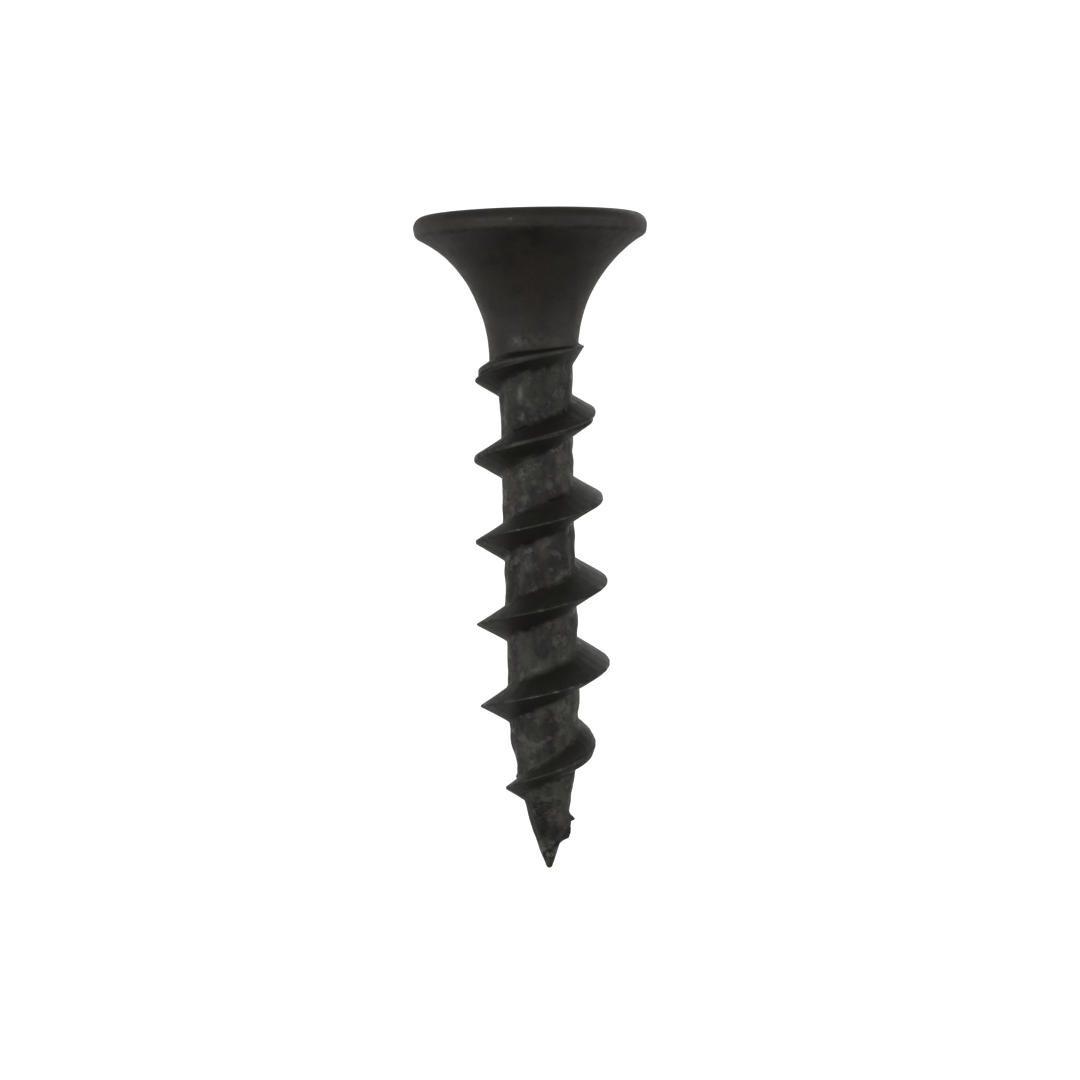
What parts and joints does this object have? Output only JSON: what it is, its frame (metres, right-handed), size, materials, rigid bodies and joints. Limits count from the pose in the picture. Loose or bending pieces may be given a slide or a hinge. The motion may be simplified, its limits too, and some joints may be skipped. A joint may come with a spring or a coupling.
{
  "type": "wood screw",
  "caption": "Bugle-head wood screw with a cross recess, coarse right-hand thread and sharp point, in black phosphated steel, for fixing boards to wood.",
  "frame": {"origin": "centre of the head's flat top face, which lies flush with the board's surface when the screw is driven home", "axes": "+Z along the screw's axis, out of the head towards the driver; the point is at -Z; the ridge of the thread leaves the neck on the +X side"},
  "size_m": [0.0088, 0.0088, 0.025],
  "materials": {
    "black_phosphate_steel": "matte black phosphate on hardened carbon steel"
  },
  "bodies": {
    "root": {"screw": "black_phosphate_steel"}
  },
  "joints": []
}
